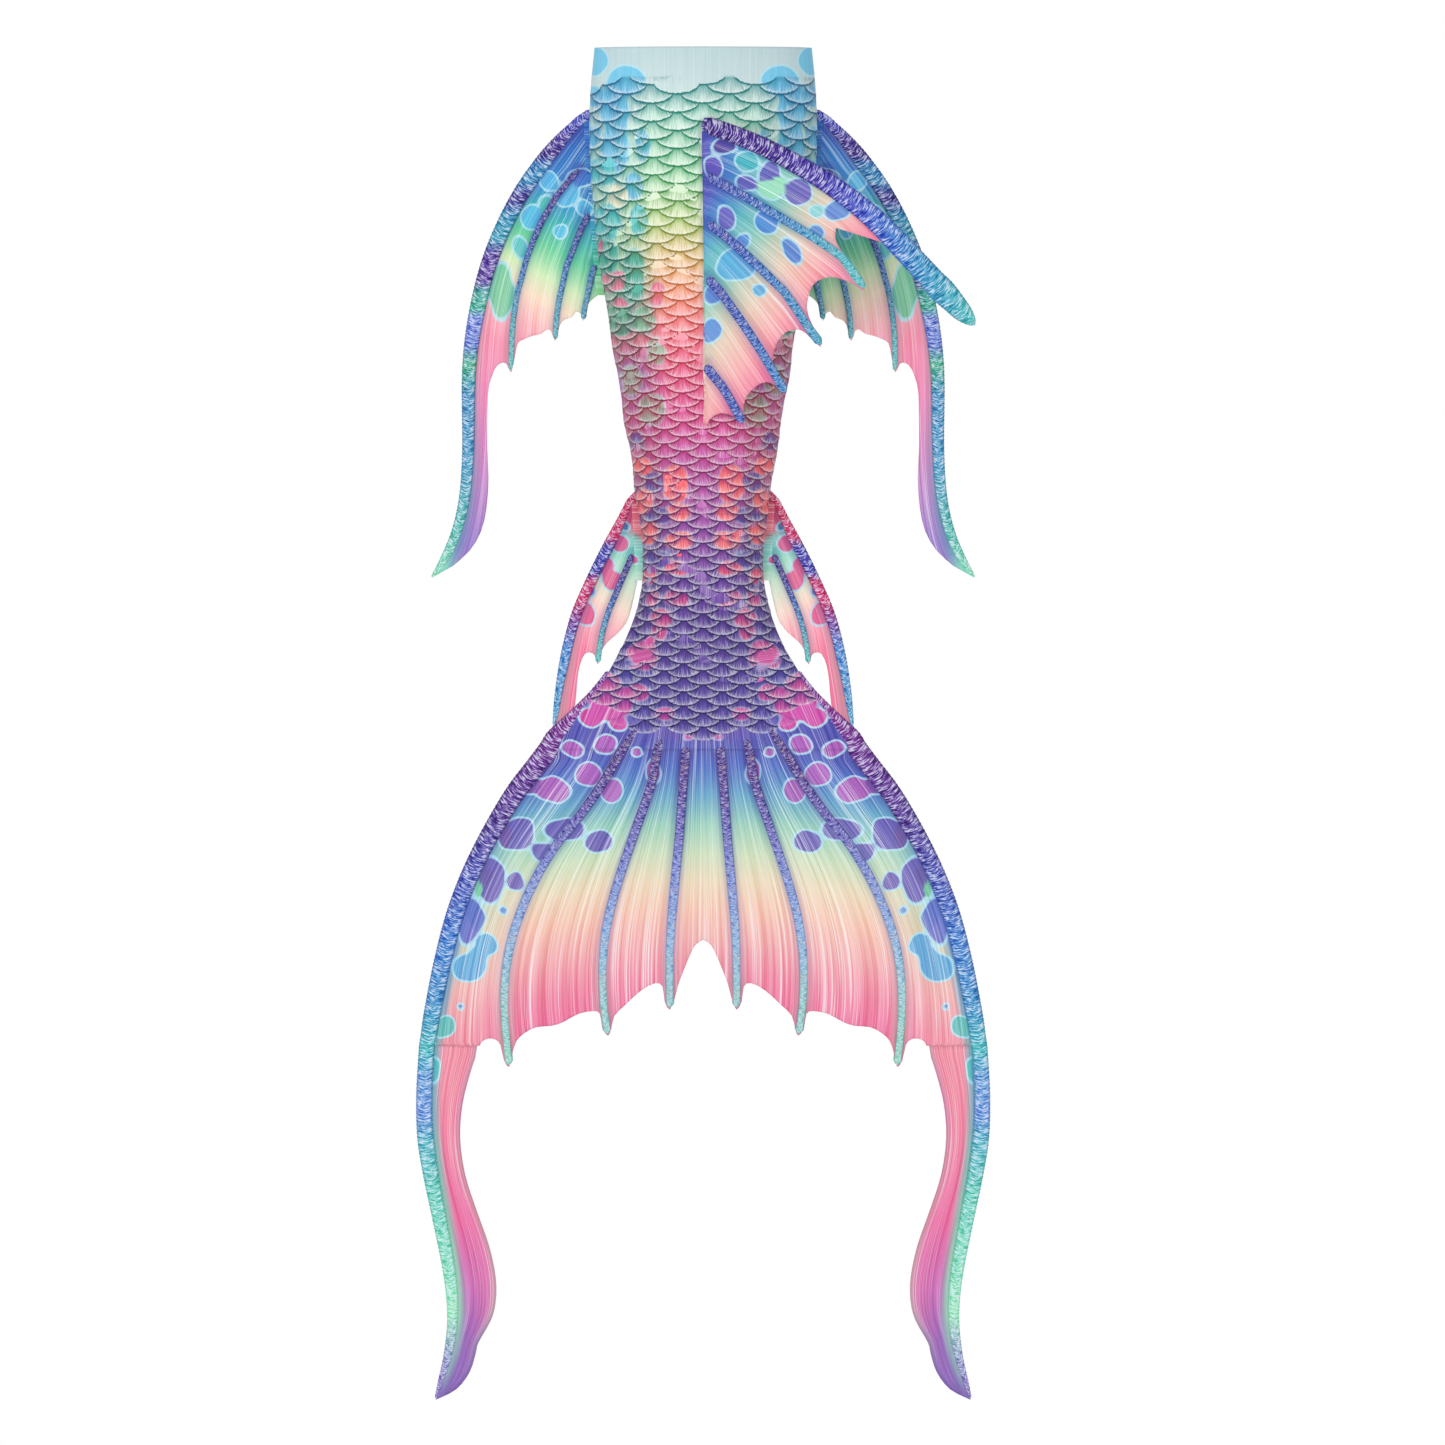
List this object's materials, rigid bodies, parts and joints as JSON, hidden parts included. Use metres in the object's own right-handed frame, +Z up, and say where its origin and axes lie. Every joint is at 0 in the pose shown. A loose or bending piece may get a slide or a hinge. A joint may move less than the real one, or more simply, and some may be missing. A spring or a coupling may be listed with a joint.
{
  "type": "mermaid tail with monofin",
  "caption": "Wearable swim tail: a tapering stretch-fabric tube with hip, back and ankle fins, ending in a wide flexible tail fin over a bladed monofin.",
  "frame": {"origin": "centre of the waist opening", "axes": "+Z up the body and out of the waist, -Y the back, where the dorsal fin is sewn, +X the wearer's right"},
  "size_m": [0.8614, 0.191, 2.028],
  "materials": {
    "scale_print": "printed four-way stretch knit, soft satin sheen",
    "waist_elastic": "ribbed white elastic",
    "hem_facing": "printed stretch knit, turned to the inside",
    "gripper_silicone": "translucent silicone grip",
    "white_ribbon": "satin ribbon",
    "fluke_print": "printed stretch knit over the blade, satin sheen",
    "fin_print": "printed stretch knit, double layer, pleated",
    "edge_print": "printed knit over foam piping",
    "ray_print": "printed knit over foam cord",
    "blade_plastic": "smooth pale blue polycarbonate",
    "pocket_rubber": "matte moulded rubber",
    "strap_rubber": "matte rubber",
    "sole_plastic": "moulded plastic",
    "screw_steel": "stainless steel",
    "zip_tape": "woven tape",
    "zip_teeth": "moulded teeth",
    "zip_metal": "plated metal"
  },
  "bodies": {
    "upper_body": {"skin_upper_back": "scale_print", "skin_upper_front": "scale_print", "waist_elastic": "waist_elastic", "waist_facing": "hem_facing", "waist_gripper": "gripper_silicone", "knee_panel_back": "scale_print", "knee_panel_front": "scale_print"},
    "lower_leg": {"skin_lower_back": "scale_print", "skin_lower_front": "scale_print", "ankle_panel_back": "scale_print", "ankle_panel_front": "scale_print"},
    "foot": {"skin_foot_back": "scale_print", "skin_foot_front": "scale_print", "blade_root": "blade_plastic", "foot_pocket_left": "pocket_rubber", "foot_pocket_right": "pocket_rubber", "sole_plate_left": "sole_plastic", "sole_plate_right": "sole_plastic", "pocket_screws": "screw_steel", "strap_pins": "screw_steel"},
    "fluke": {"fluke_skin_back": "fluke_print", "fluke_skin_front": "fluke_print", "fluke_blade": "blade_plastic", "fluke_edge_left": "edge_print", "fluke_edge_right": "edge_print", "fluke_ray_left_1": "ray_print", "fluke_ray_left_2": "ray_print", "fluke_ray_left_3": "ray_print", "fluke_ray_right_1": "ray_print", "fluke_ray_right_2": "ray_print", "fluke_ray_right_3": "ray_print", "zip_tape": "zip_tape", "zip_teeth": "zip_teeth", "zip_stops": "zip_metal"},
    "loop_left": {"hanger_loop_left": "white_ribbon"},
    "hip_fin_left": {"hip_fin_skin_left": "fin_print", "hip_fin_edge_left": "edge_print", "hip_fin_rays_left": "ray_print"},
    "ankle_fin_left": {"ankle_fin_skin_left": "fin_print", "ankle_fin_edge_left": "edge_print", "ankle_fin_ray_left": "ray_print"},
    "strap_left": {"heel_strap_left": "strap_rubber"},
    "tip_left": {"tip_skin_left": "fluke_print", "tip_edge_left": "edge_print"},
    "loop_right": {"hanger_loop_right": "white_ribbon"},
    "hip_fin_right": {"hip_fin_skin_right": "fin_print", "hip_fin_edge_right": "edge_print", "hip_fin_rays_right": "ray_print"},
    "ankle_fin_right": {"ankle_fin_skin_right": "fin_print", "ankle_fin_edge_right": "edge_print", "ankle_fin_ray_right": "ray_print"},
    "strap_right": {"heel_strap_right": "strap_rubber"},
    "tip_right": {"tip_skin_right": "fluke_print", "tip_edge_right": "edge_print"},
    "dorsal_fin": {"dorsal_fin_skin": "fin_print", "dorsal_fin_edge": "edge_print", "dorsal_fin_rays": "ray_print"},
    "zip_slider": {"zip_slider": "zip_metal"},
    "zip_pull": {"zip_pull": "zip_metal"}
  },
  "joints": [
    {"name": "loop_left_flip", "type": "hinge", "parent": "upper_body", "child": "loop_left", "pos_m": [-0.1544, 0, -0.003], "axis": [0, -1, 0], "range_deg": [0, 165]},
    {"name": "hip_fin_left_flap", "type": "hinge", "parent": "upper_body", "child": "hip_fin_left", "pos_m": [-0.1589, 0, -0.372], "axis": [0.0712, 0, -0.9975], "range_deg": [-30, 60], "stiffness_Nm_per_rad": 0.25},
    {"name": "loop_right_flip", "type": "hinge", "parent": "upper_body", "child": "loop_right", "pos_m": [0.1544, 0, -0.003], "axis": [0, 1, 0], "range_deg": [0, 165]},
    {"name": "hip_fin_right_flap", "type": "hinge", "parent": "upper_body", "child": "hip_fin_right", "pos_m": [0.1589, 0, -0.372], "axis": [0.0712, 0, 0.9975], "range_deg": [-30, 60], "stiffness_Nm_per_rad": 0.25},
    {"name": "dorsal_fin_fold", "type": "hinge", "parent": "upper_body", "child": "dorsal_fin", "pos_m": [0, -0.1015, -0.336], "axis": [0, 0, -1], "range_deg": [0, 180]},
    {"name": "knee_bend", "type": "hinge", "parent": "upper_body", "child": "lower_leg", "pos_m": [0, -0.005, -0.6], "axis": [-1, 0, 0], "range_deg": [0, 50], "deforming": ["knee_panel_back", "knee_panel_front"]},
    {"name": "ankle_fin_left_flap", "type": "hinge", "parent": "lower_leg", "child": "ankle_fin_left", "pos_m": [-0.099, 0, -0.8], "axis": [0.0559, 0, -0.9984], "range_deg": [-45, 45], "stiffness_Nm_per_rad": 0.12},
    {"name": "ankle_fin_right_flap", "type": "hinge", "parent": "lower_leg", "child": "ankle_fin_right", "pos_m": [0.099, 0, -0.8], "axis": [0.0559, 0, 0.9984], "range_deg": [-45, 45], "stiffness_Nm_per_rad": 0.12},
    {"name": "ankle_bend", "type": "hinge", "parent": "lower_leg", "child": "foot", "pos_m": [0, 0, -0.832], "axis": [1, 0, 0], "range_deg": [-20, 50], "deforming": ["ankle_panel_back", "ankle_panel_front"]},
    {"name": "heel_strap_left_swing", "type": "hinge", "parent": "foot", "child": "strap_left", "pos_m": [-0.043, 0.02, -0.874], "axis": [-1, 0, 0], "range_deg": [0, 45]},
    {"name": "heel_strap_right_swing", "type": "hinge", "parent": "foot", "child": "strap_right", "pos_m": [0.043, 0.02, -0.874], "axis": [-1, 0, 0], "range_deg": [0, 45]},
    {"name": "blade_flex", "type": "hinge", "parent": "foot", "child": "fluke", "pos_m": [0, 0, -1.044], "axis": [1, 0, 0], "range_deg": [-25, 25], "stiffness_Nm_per_rad": 12},
    {"name": "tip_left_swing", "type": "hinge", "parent": "fluke", "child": "tip_left", "pos_m": [-0.382, 0, -1.502], "axis": [1, 0, 0], "range_deg": [-60, 60]},
    {"name": "tip_right_swing", "type": "hinge", "parent": "fluke", "child": "tip_right", "pos_m": [0.382, 0, -1.502], "axis": [1, 0, 0], "range_deg": [-60, 60]},
    {"name": "zip_slide", "type": "slide", "parent": "fluke", "child": "zip_slider", "axis": [-1, 0, 0], "range_m": [0, 0.322]},
    {"name": "zip_pull_swing", "type": "hinge", "parent": "zip_slider", "child": "zip_pull", "pos_m": [0.162, 0.009, -1.08], "axis": [0, 0, -1], "range_deg": [0, 150]}
  ]
}
